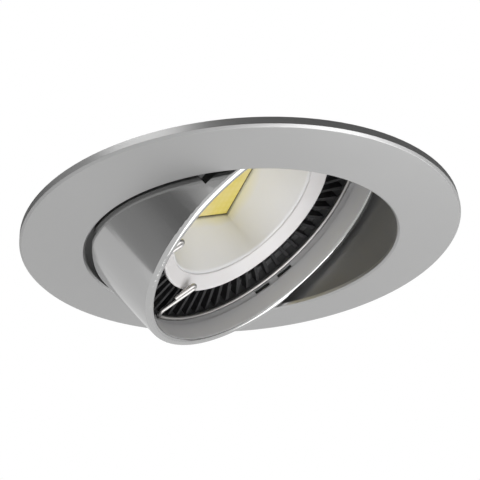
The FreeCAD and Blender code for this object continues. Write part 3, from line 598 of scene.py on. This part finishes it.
def new_corners(made: dict) -> list[bmesh.types.BMVert]:
    """Picks the vertices out of what a mesh operator made.

    Args:
        made: what the operator gave back.

    Returns:
        The vertices.
    """
    return [item for item in made["geom"] if isinstance(item, bmesh.types.BMVert)]


def set_down(work: bmesh.types.BMesh, name: str, material: bpy.types.Material
             ) -> bpy.types.Object:
    """Turns finished mesh work into an object of the scene.

    Args:
        work: the mesh work, which is freed.
        name: the object's name.
        material: its material.

    Returns:
        The new object.
    """
    mesh = bpy.data.meshes.new(name)
    work.to_mesh(mesh)
    work.free()
    mesh.materials.append(material)
    item = bpy.data.objects.new(name, mesh)
    bpy.context.scene.collection.objects.link(item)
    return item


# ---------------------------------------------------------------- studio


def stage_sheet(work: bmesh.types.BMesh, name: str, material: bpy.types.Material,
                *passing: str) -> None:
    """Puts a sheet of the studio in the scene.

    Args:
        work: its mesh work, which is freed.
        name: its name.
        material: its material.
        passing: the kinds of ray that pass through it.
    """
    item = set_down(work, name, material)
    for ray in passing:
        setattr(item, "visible_" + ray, False)


@dataclass(frozen=True)
class Lamp:
    """One soft rectangular lamp, aimed at the origin."""

    name: str
    spot: tuple[float, float, float]
    size: tuple[float, float]
    power: float

    def build(self) -> None:
        """Adds the lamp to the scene."""
        light = bpy.data.lights.new(self.name, "AREA")
        light.shape = "RECTANGLE"
        light.size, light.size_y = self.size
        light.energy = self.power
        item = bpy.data.objects.new(self.name, light)
        bpy.context.scene.collection.objects.link(item)
        item.location = self.spot
        item.visible_camera = False
        item.rotation_euler = (-Vector(self.spot)).to_track_quat("-Z", "Y").to_euler()


@dataclass(frozen=True)
class Card:
    """An upright card on the floor that only mirroring surfaces show.

    Each of its tones is a share of the way from its start to its end, and a grey.
    """

    name: str
    start: tuple[float, float]
    end: tuple[float, float]
    top: float
    tones: tuple[tuple[float, float], ...]

    def finish(self) -> bpy.types.Material:
        """Makes the glow that reflections show.

        Returns:
            The material.
        """
        shader = Shader(self.name)
        sides = shader.axes(shader.place(Place.TRIM))
        spans = [abs(end - start) for start, end in zip(self.start, self.end)]
        axis = spans.index(max(spans))
        along = shader.spread(sides[axis], 0.0, 1.0, self.start[axis], self.end[axis])
        ramp = shader.node("ValToRGB")
        ramp.color_ramp.interpolation = "EASE"
        stops = ramp.color_ramp.elements
        for index, (share, tone) in enumerate(self.tones):
            stop = stops[index] if index < len(stops) else stops.new(share)
            stop.position = share
            stop.color = (tone, tone, tone, 1.0)
        glow = shader.node("Emission")
        shader.link(along, ramp.inputs["Fac"])
        shader.link(ramp.outputs["Color"], glow.inputs["Color"])
        shader.link(glow.outputs[0], shader.out.inputs["Surface"])
        return shader.material

    def build(self) -> None:
        """Stands the card in the studio."""
        work = bmesh.new()
        foot = [work.verts.new((*spot, FLOOR_LEVEL)) for spot in (self.start, self.end)]
        edge = work.edges.new(foot)
        top = new_corners(bmesh.ops.extrude_edge_only(work, edges=[edge]))
        bmesh.ops.translate(work, verts=top, vec=(0.0, 0.0, self.top - FLOOR_LEVEL))
        stage_sheet(work, self.name, self.finish(), "camera", "diffuse", "transmission",
                    "shadow")


@dataclass(frozen=True)
class Studio:
    """Camera, room, floor, the white soffit round the trim, lamps and cards."""

    reach: float = 6.0
    cutout: float = 81.0 * MM
    cutout_steps: int = 128
    lens: float = 56.566
    sensor: float = 36.0
    nearest: float = 5.0 * MM
    camera_spot: tuple[float, float, float] = (31.343 * MM, -273.404 * MM, -140.149 * MM)
    forward: tuple[float, float, float] = (-0.10245852, 0.880602, 0.46264714)
    roll: float = math.radians(5.1455)
    room_tone: float = 0.34
    upper_tone: float = 0.07
    dusk_start: float = 0.05
    dusk_end: float = 0.5
    floor_dull: float = 0.86
    floor_pale: float = 0.88
    floor_scale: float = 3.0
    floor_roughness: float = 0.8
    floor_white: float = 0.75
    lamps: tuple[Lamp, ...] = (
        Lamp("under_lamp", spot=(0.15, -0.02, -0.26), size=(0.42, 0.34), power=1.1),
        Lamp("top_lamp", spot=(-0.5, -0.6, 0.9), size=(0.9, 0.9), power=5.0),
    )
    cards: tuple[Card, ...] = (
        Card("side_card", start=(-0.9, -3.5), end=(-0.9, 0.07), top=1.2,
             tones=((0.45, 0.7), (0.76, 0.19), (0.93, 0.34), (1.0, 0.4))),
        Card("left_card", start=(-1.652, 0.1), end=(-1.652, 1.0), top=0.6, tones=EVEN_TONE),
        Card("back_card", start=(-1.652, 1.0), end=(1.5, 1.0), top=0.6, tones=EVEN_TONE),
    )

    def camera(self) -> None:
        """Puts the camera where the fit to the photograph has it."""
        ahead = Vector(self.forward).normalized()
        right = ahead.cross(Vector((0.0, 0.0, 1.0))).normalized()
        above = right.cross(ahead)
        above = above * math.cos(self.roll) + right * math.sin(self.roll)
        right = ahead.cross(above)
        data = bpy.data.cameras.new("camera")
        data.lens = self.lens
        data.sensor_width = self.sensor
        data.clip_start = self.nearest
        item = bpy.data.objects.new("camera", data)
        turn = Matrix((right, above, -ahead)).transposed()
        item.matrix_world = Matrix.Translation(self.camera_spot) @ turn.to_4x4()
        bpy.context.scene.collection.objects.link(item)
        bpy.context.scene.camera = item

    def room(self) -> None:
        """A grey world, dark overhead to glossy rays and white to the camera's rays."""
        world = bpy.data.worlds.new("room")
        world.use_nodes = True
        nodes = Nodes(world.node_tree)
        height = nodes.axes(nodes.node("TexCoord").outputs["Generated"])["Z"]
        dusk = nodes.spread(height, 0.0, 1.0, self.dusk_start, self.dusk_end)
        overhead = nodes.math("MULTIPLY", dusk, nodes.answering(Ray.GLOSSY))
        tone = nodes.blend(overhead, (self.room_tone,) * 3, (self.upper_tone,) * 3)
        seen = nodes.answering(Ray.CAMERA, Ray.TRANSMISSION)
        background = nodes.tree.nodes["Background"]
        nodes.link(nodes.blend(seen, tone, (1.0, 1.0, 1.0)), background.inputs["Color"])
        bpy.context.scene.world = world

    def floor(self) -> None:
        """A pale floor, well below the light, that glows towards the rays that see it.

        It still takes shadows, because the glow is only a share of what they see.
        """
        work = bmesh.new()
        bmesh.ops.create_grid(work, x_segments=1, y_segments=1, size=self.reach)
        bmesh.ops.translate(work, verts=work.verts, vec=(0.0, 0.0, FLOOR_LEVEL))
        shader = Shader("pale_floor")
        tone = shader.noise(shader.place(Place.TRIM), self.floor_scale, detail=2.0)
        shader.coat(Base_Color=shader.blend(tone, (self.floor_dull,) * 3, (self.floor_pale,) * 3),
                    Roughness=self.floor_roughness)
        seen = shader.answering(Ray.CAMERA, Ray.GLOSSY, Ray.TRANSMISSION)
        shader.mix(shader.math("MULTIPLY", seen, self.floor_white), shader.surface,
                   shader.node("Emission"))
        stage_sheet(work, "floor", shader.material)

    def ceiling(self) -> None:
        """The white soffit round the cut-out, which is clear from above.

        Diffuse, glossy and shadow rays pass it, so it neither lights nor shades the
        light, and the metal mirrors the room above it.
        """
        work = bmesh.new()
        bmesh.ops.create_circle(work, segments=self.cutout_steps, radius=self.cutout)
        outer = new_corners(bmesh.ops.extrude_edge_only(work, edges=work.edges[:]))
        factor = self.reach / self.cutout
        bmesh.ops.scale(work, verts=outer, vec=(factor, factor, 1.0))
        shader = Shader("white_soffit")
        normal = shader.node("NewGeometry").outputs["True Normal"]
        from_below = shader.math("LESS_THAN", shader.axes(normal)["Z"], 0.0)
        shader.mix(from_below, shader.node("BsdfTransparent"), shader.node("Emission"))
        stage_sheet(work, "ceiling", shader.material, "diffuse", "glossy", "shadow")

    def build(self) -> None:
        """Sets up the whole studio."""
        bpy.context.scene.view_settings.view_transform = "Standard"
        self.camera()
        self.room()
        self.floor()
        self.ceiling()
        for item in self.lamps + self.cards:
            item.build()


# ---------------------------------------------------------------- the light


class Workshop:
    """Mesh work that every sub-assembly shares."""

    def __init__(self, nodes: dict) -> None:
        """Keeps the frame's nodes.

        Args:
            nodes: the CAD nodes by name.
        """
        self.nodes = nodes

    def add(self, work: bmesh.types.BMesh, name: str, body: str, slot: str,
            material: bpy.types.Material, stands_for: tuple[str, ...],
            place: Matrix = UPRIGHT) -> bpy.types.Object:
        """Turns finished mesh work into a piece of the light.

        Args:
            work: the mesh work, which is freed.
            name: the piece's name.
            body: the CAD body that it rides on.
            slot: the record's material slot; not used.
            material: its finish.
            stands_for: the CAD nodes that it replaces.
            place: from the piece's drawing place to its place in the light.

        Returns:
            The new piece.
        """
        bmesh.ops.transform(work, matrix=place, verts=work.verts)
        for face in work.faces:
            face.smooth = True
        for edge in work.edges:
            edge.smooth = edge.calc_face_angle(0.0) < SHADING_ANGLE
        piece = set_down(work, name, material)
        even = piece.modifiers.new("even_shading", "WEIGHTED_NORMAL")
        even.keep_sharp = True
        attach(piece, body)
        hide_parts(*stands_for)
        log.info("%s on %s: %d faces, %s", name, body, len(piece.data.polygons), material.name)
        return piece

    @staticmethod
    def break_edges(work: bmesh.types.BMesh, width: float, segments: int) -> None:
        """Bevels the edges at which two faces meet in a corner.

        Args:
            work: the mesh work.
            width: width of the broken edges, in metres.
            segments: faces across a broken edge.
        """
        edges = [edge for edge in work.edges
                 if len(edge.link_faces) == 2 and edge.calc_face_angle(0.0) > CORNER_ANGLE]
        bmesh.ops.bevel(work, geom=edges, offset=width, offset_type="OFFSET", segments=segments,
                        profile=ROUND_PROFILE, affect="EDGES", clamp_overlap=True, material=-1)

    def refined(self, node: str, name: str, body: str, slot: str,
                material: bpy.types.Material, soften: float = 0.12 * MM,
                segments: int = 2) -> bpy.types.Object:
        """A merged copy of a CAD node with its sharp edges broken.

        Args:
            node: the CAD node.
            name: the new piece's name.
            body: the CAD body that it rides on.
            slot: the record's material slot.
            material: its finish.
            soften: width of the broken edges, in metres.
            segments: faces across a broken edge.

        Returns:
            The new piece.
        """
        work = bmesh.new()
        work.from_mesh(self.nodes[node].data)
        bmesh.ops.remove_doubles(work, verts=work.verts, dist=MERGE_DISTANCE)
        bmesh.ops.dissolve_limit(work, angle_limit=FLAT_ANGLE, verts=work.verts,
                                 edges=work.edges)
        self.break_edges(work, soften, segments)
        return self.add(work, name, body, slot, material, (node,))

    @staticmethod
    def line_inside(piece: bpy.types.Object, finish: bpy.types.Material, place: Matrix,
                    facing: float, start: float) -> None:
        """Gives the faces that look at a round piece's axis their own finish.

        Args:
            piece: the piece.
            finish: the finish of its inside.
            place: from the upright drawing place to the piece's place in the light.
            facing: how squarely a face has to look at the axis, from 0 to 1.
            start: the lowest upright height that the finish reaches.
        """
        piece.data.materials.append(finish)
        upright = place.inverted()
        for face in piece.data.polygons:
            middle = upright @ face.center
            normal = upright.to_3x3() @ face.normal
            outward = Vector((middle.x, middle.y, 0.0)).normalized()
            if normal.dot(outward) < -facing and middle.z > start:
                face.material_index = 1

    @staticmethod
    def spun(corners: list[tuple[float, float, float]], steps: int) -> bmesh.types.BMesh:
        """A ring turned about the Z axis from a closed outline.

        Args:
            corners: radius, height and rounding of each corner, in millimetres.
            steps: faces round the ring.

        Returns:
            The mesh work.
        """
        work = bmesh.new()
        verts = [work.verts.new((radius * MM, 0.0, height * MM))
                 for radius, height, _ in corners]
        for start, end in zip(verts, verts[1:] + verts[:1]):
            work.edges.new((start, end))
        for vert, (_, _, rounding) in zip(verts, corners):
            if rounding:
                bmesh.ops.bevel(work, geom=[vert], offset=rounding * MM, offset_type="OFFSET",
                                segments=ROUNDING_FACES, profile=ROUND_PROFILE,
                                affect="VERTICES", material=-1)
        bmesh.ops.spin(work, geom=work.verts[:] + work.edges[:], cent=(0.0, 0.0, 0.0),
                       axis=(0.0, 0.0, 1.0), angle=math.tau, steps=steps, use_merge=True)
        bmesh.ops.remove_doubles(work, verts=work.verts, dist=MERGE_DISTANCE)
        bmesh.ops.recalc_face_normals(work, faces=work.faces)
        return work


@dataclass
class Trim:
    """Cast trim ring with its bosses and flats, and the washers on it."""

    shop: Workshop
    edge_break: float = 0.3 * MM
    land_top: float = -1.15 * MM
    facing: float = 0.5
    paint: SatinPaint = SatinPaint("trim_paint", Place.TRIM)
    # The collar's inside, above the land, is painted darker than the flange: painted shade in the
    # recess of the collar.
    inside: SatinPaint = SatinPaint("collar_painted_shade", Place.TRIM, color=(0.27, 0.27, 0.273),
                                    roughness=0.45, metal=0.5)
    zinc: BareMetal = BareMetal("trim_zinc", Place.TRIM, ZINC, ZINC_ROUGHNESS)

    def build(self) -> None:
        """Makes the ring and its washers."""
        ring = self.shop.refined("trim_ring", "cast_trim_ring", "trim", "satin_metal",
                                 self.paint.build(), self.edge_break, segments=3)
        self.shop.line_inside(ring, self.inside.build(), UPRIGHT, self.facing, self.land_top)
        self.shop.refined("pivot_washers", "plain_washers", "trim", "zinc_steel",
                          self.zinc.build())


@dataclass
class Clips:
    """Sprung ceiling clips at both sides."""

    shop: Workshop
    sheet_break: float = 0.15 * MM
    zinc: BareMetal = BareMetal("clip_zinc", Place.TRIM, ZINC, ZINC_ROUGHNESS)
    wire: BareMetal = BareMetal("clip_spring_wire", Place.TRIM, color=(0.72, 0.71, 0.69),
                                roughness=0.22)

    def build(self) -> None:
        """Makes brackets, pins, screws, springs and arms."""
        zinc = self.zinc.build()
        wire = self.wire.build()
        self.shop.refined("clip_brackets", "folded_brackets", "trim", "zinc_steel", zinc,
                          self.sheet_break)
        self.shop.refined("clip_pins", "riveted_pins", "trim", "zinc_steel", zinc)
        self.shop.refined("clip_screws", "bracket_screws", "trim", "zinc_steel", zinc)
        for side in ("right", "left"):
            self.shop.refined("clip_spring_" + side, "torsion_spring_" + side, "trim",
                              "spring_steel", wire)
            self.shop.refined("clip_arm_" + side, "sprung_arm_" + side, "clip_" + side,
                              "zinc_steel", zinc, self.sheet_break)


@dataclass
class Barrel:
    """Flared sleeve, inner lamp ring, pivots and the wire that holds the lamp."""

    shop: Workshop
    sleeve_mouth: float = -80.0 * MM
    facing: float = 0.93
    sleeve_break: float = 0.25 * MM
    ring_break: float = 0.1 * MM
    screw_break: float = 0.15 * MM
    washer_break: float = 0.05 * MM
    wire_break: float = 0.3 * MM
    paint: SatinPaint = SatinPaint("barrel_paint", Place.BARREL, color=(0.50, 0.50, 0.498),
                                   roughness=0.11, metal=1.0)
    # The inner ring's colour turns near-black above the wire, towards the fins: painted shade in
    # the gap between the ring and the heat sink.
    ring: SatinPaint = SatinPaint("ring_paint", Place.BARREL, color=(0.62, 0.62, 0.632),
                                  roughness=0.45, metal=0.3, painted_shade=(0.12, 0.12, 0.122),
                                  painted_shade_start=-10.2 * MM, painted_shade_end=-9.2 * MM)
    matt: SatinPaint = SatinPaint("inner_paint", Place.BARREL, color=(0.66, 0.66, 0.675),
                                  roughness=0.5, metal=0.3)
    zinc: BareMetal = BareMetal("pivot_zinc", Place.BARREL, ZINC, ZINC_ROUGHNESS)
    # Near-black metal for the pivot plates, darker than the zinc steel of their slot.
    black: BareMetal = BareMetal("plate_black", Place.BARREL, color=(0.05, 0.05, 0.05),
                                 roughness=0.4)
    wire: BareMetal = BareMetal("ring_wire", Place.BARREL, color=(0.44, 0.43, 0.42),
                                roughness=0.38)

    def build(self) -> None:
        """Makes every piece of the barrel."""
        paint = self.paint.build()
        zinc = self.zinc.build()
        matt = self.matt.build()
        sleeve = self.shop.refined("barrel_sleeve", "spun_sleeve", "barrel", "satin_metal", paint,
                                   self.sleeve_break, segments=3)
        self.shop.line_inside(sleeve, matt, TILTED, self.facing, self.sleeve_mouth)
        self.shop.refined("lamp_ring", "inner_ring", "barrel", "satin_metal",
                          self.ring.build(), self.ring_break)
        self.shop.refined("pivot_plates", "hooked_plates", "barrel", "zinc_steel",
                          self.black.build())
        self.shop.refined("pivot_screws", "slotted_screws", "barrel", "zinc_steel", zinc,
                          self.screw_break)
        self.shop.refined("pivot_nuts", "hex_nuts", "barrel", "zinc_steel", zinc,
                          self.screw_break)
        self.shop.refined("friction_washers", "wave_washers", "barrel", "zinc_steel", zinc,
                          self.washer_break)
        self.shop.refined("retaining_wire", "bent_wire_ring", "barrel", "spring_steel",
                          self.wire.build(), self.wire_break, segments=3)


@dataclass
class ReflectorLamp:
    """Finned reflector lamp: heat sink, bezel, reflector and light source.

    Its lengths are in millimetres, and its heights are upright ones from the pivot.
    """

    shop: Workshop
    bezel_radius: float = 43.0
    bezel_inner: float = 36.3
    bezel_front: float = -9.6
    bezel_inner_front: float = -5.4
    bezel_back: float = -3.7
    bezel_seat: float = 40.7
    bezel_foot: float = -7.3
    bezel_shoulder: float = 1.5
    bezel_lip: float = 0.35
    bezel_arris: float = 0.1
    reflector_radius: float = 35.7
    reflector_front: float = -5.0
    reflector_back: float = 17.9
    reflector_margin: float = 0.2
    reflector_rows: int = 16
    reflector_passes: int = 4
    array_half: float = 24.0
    array_front: float = 17.5
    array_thickness: float = 0.5
    array_gap: float = 0.1
    array_break: float = 0.12
    border_width: float = 0.7
    fin_break: float = 0.15
    wall: float = 0.8
    round_faces: int = 192
    black: BlackAnodised = BlackAnodised("fin_black")
    white: MouldedPlastic = MouldedPlastic("bezel_white", color=(0.74, 0.725, 0.73),
                                           roughness=0.34)
    bowl: BowlWithPaintedReflection = BowlWithPaintedReflection("reflector_white")
    dark: MouldedPlastic = MouldedPlastic("border_dark", color=(0.10, 0.085, 0.04),
                                          roughness=0.5)
    board: MouldedPlastic = MouldedPlastic("board_white", color=(0.7, 0.7, 0.68),
                                           roughness=0.5)
    gel: PhosphorGel = PhosphorGel("phosphor_gel")

    def bezel(self) -> None:
        """White ring with a softly rounded outer edge."""
        work = self.shop.spun([
            (self.bezel_radius, self.bezel_foot, self.bezel_arris),
            (self.bezel_radius, self.bezel_front, self.bezel_shoulder),
            (self.bezel_inner, self.bezel_inner_front, self.bezel_lip),
            (self.bezel_inner, self.bezel_back, self.bezel_arris),
            (self.bezel_seat, self.bezel_back, self.bezel_arris),
            (self.bezel_seat, self.bezel_foot, 0.0),
        ], self.round_faces)
        self.shop.add(work, "white_bezel", "barrel", "white_plastic", self.white.build(),
                      ("lamp_bezel",), TILTED)

    def reflector(self) -> None:
        """Bowl that runs from the round bezel to the square light source."""
        work = bmesh.new()
        front = bmesh.ops.create_circle(work, segments=self.round_faces,
                                        radius=self.reflector_radius * MM)["verts"]
        bmesh.ops.translate(work, verts=front, vec=(0.0, 0.0, self.reflector_front * MM))
        back = bmesh.ops.create_circle(
            work, segments=4, radius=self.array_half * math.sqrt(2.0) * MM)["verts"]
        bmesh.ops.translate(work, verts=back, vec=(0.0, 0.0, self.reflector_back * MM))
        sides = list(dict.fromkeys(edge for vert in back for edge in vert.link_edges))
        bmesh.ops.subdivide_edges(work, edges=sides, cuts=self.round_faces // 4 - 1)
        bmesh.ops.bridge_loops(work, edges=work.edges[:])
        rails = [edge for edge in work.edges
                 if abs(edge.verts[0].co.z - edge.verts[1].co.z) > MM]
        bmesh.ops.subdivide_edges(work, edges=rails, cuts=self.reflector_rows - 1,
                                  use_grid_fill=True)
        lowest = (self.reflector_front + self.reflector_margin) * MM
        highest = (self.reflector_back - self.reflector_margin) * MM
        inner = [vert for vert in work.verts if lowest < vert.co.z < highest]
        for _ in range(self.reflector_passes):
            bmesh.ops.smooth_vert(work, verts=inner, factor=0.5,
                                  use_axis_x=True, use_axis_y=True, use_axis_z=False)
        bmesh.ops.recalc_face_normals(work, faces=work.faces)
        probe = work.faces[0]
        middle = probe.calc_center_median()
        if probe.normal.x * middle.x + probe.normal.y * middle.y > 0.0:
            bmesh.ops.reverse_faces(work, faces=work.faces)
        piece = self.shop.add(work, "square_reflector", "barrel", "white_reflector",
                              self.bowl.build(), ("lamp_reflector",), TILTED)
        wall = piece.modifiers.new("wall", "SOLIDIFY")
        wall.thickness = self.wall * MM
        wall.offset = -1.0
        piece.modifiers.move(1, 0)

    def source(self) -> None:
        """Yellow square with soft edges, in its thin dark border."""
        half = self.array_half - self.array_gap
        opening = half - self.border_width
        for name, outer, inner, node, slot, finish in (
            ("chip_border", half, opening, "source_border", "dark_border", self.dark),
            ("yellow_square", opening - self.array_gap, 0.0, "light_source",
             "yellow_phosphor", self.gel),
        ):
            work = bmesh.new()
            bmesh.ops.create_circle(work, cap_ends=True, segments=4,
                                    radius=outer * math.sqrt(2.0) * MM)
            if inner:
                rim = bmesh.ops.inset_individual(work, faces=work.faces[:],
                                                 thickness=(outer - inner) * MM)
                kept = set(rim["faces"])
                bmesh.ops.delete(work, geom=[face for face in work.faces if face not in kept],
                                 context="FACES_ONLY")
            top = new_corners(bmesh.ops.extrude_face_region(work, geom=work.faces[:]))
            bmesh.ops.translate(work, verts=top, vec=(0.0, 0.0, self.array_thickness * MM))
            bmesh.ops.translate(work, verts=work.verts, vec=(0.0, 0.0, self.array_front * MM))
            bmesh.ops.recalc_face_normals(work, faces=work.faces)
            self.shop.break_edges(work, self.array_break * MM, segments=3)
            self.shop.add(work, name, "barrel", slot, finish.build(), (node,), TILTED)

    def build(self) -> None:
        """Makes every piece of the lamp's front."""
        self.shop.refined("lamp_heat_sink", "finned_heat_sink", "barrel", "black_heat_sink",
                          self.black.build(), self.fin_break * MM)
        self.bezel()
        self.reflector()
        self.source()
        self.shop.refined("source_board", "chip_board", "barrel", "white_board",
                          self.board.build())


@dataclass
class LampBase:
    """Driver housing, its board and pins, and the ceramic lampholder."""

    shop: Workshop
    thick_break: float = 0.3 * MM
    thin_break: float = 0.2 * MM
    grey: MouldedPlastic = MouldedPlastic("housing_grey", color=(0.6, 0.6, 0.58),
                                          roughness=0.45)
    green: BoardLacquer = BoardLacquer("board_green")
    brass: BareMetal = BareMetal("pin_brass", Place.BARREL, color=(0.72, 0.60, 0.34),
                                 roughness=0.25)
    ceramic: MouldedPlastic = MouldedPlastic("holder_ceramic", color=(0.78, 0.75, 0.69),
                                             roughness=0.7, peel_scale=2500.0,
                                             relief=0.03 * MM)
    zinc: BareMetal = BareMetal("rivet_zinc", Place.BARREL, ZINC, ZINC_ROUGHNESS)

    def build(self) -> None:
        """Makes every piece behind the heat sink."""
        brass = self.brass.build()
        ceramic = self.ceramic.build()
        self.shop.refined("driver_housing", "moulded_housing", "barrel", "grey_plastic",
                          self.grey.build(), self.thick_break, segments=3)
        self.shop.refined("driver_board", "circuit_board", "barrel", "green_board",
                          self.green.build())
        self.shop.refined("contact_pins", "headed_pins", "barrel", "brass_pins", brass,
                          self.thin_break)
        self.shop.refined("lampholder", "ceramic_holder", "barrel", "ceramic", ceramic,
                          self.thick_break, segments=3)
        self.shop.refined("holder_contacts", "pin_contacts", "barrel", "brass_pins", brass)
        self.shop.refined("holder_cover", "ceramic_cover", "barrel", "ceramic", ceramic,
                          self.thick_break, segments=3)
        self.shop.refined("holder_rivets", "tube_rivets", "barrel", "zinc_steel",
                          self.zinc.build(), self.thin_break)


def main() -> None:
    """Builds the studio and the light."""
    logging.basicConfig(level=logging.INFO, format="%(message)s")
    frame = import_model()
    Studio().build()
    shop = Workshop(frame["nodes"])
    for assembly in (Trim(shop), Clips(shop), Barrel(shop), ReflectorLamp(shop), LampBase(shop)):
        assembly.build()


if __name__ == "__main__":
    main()
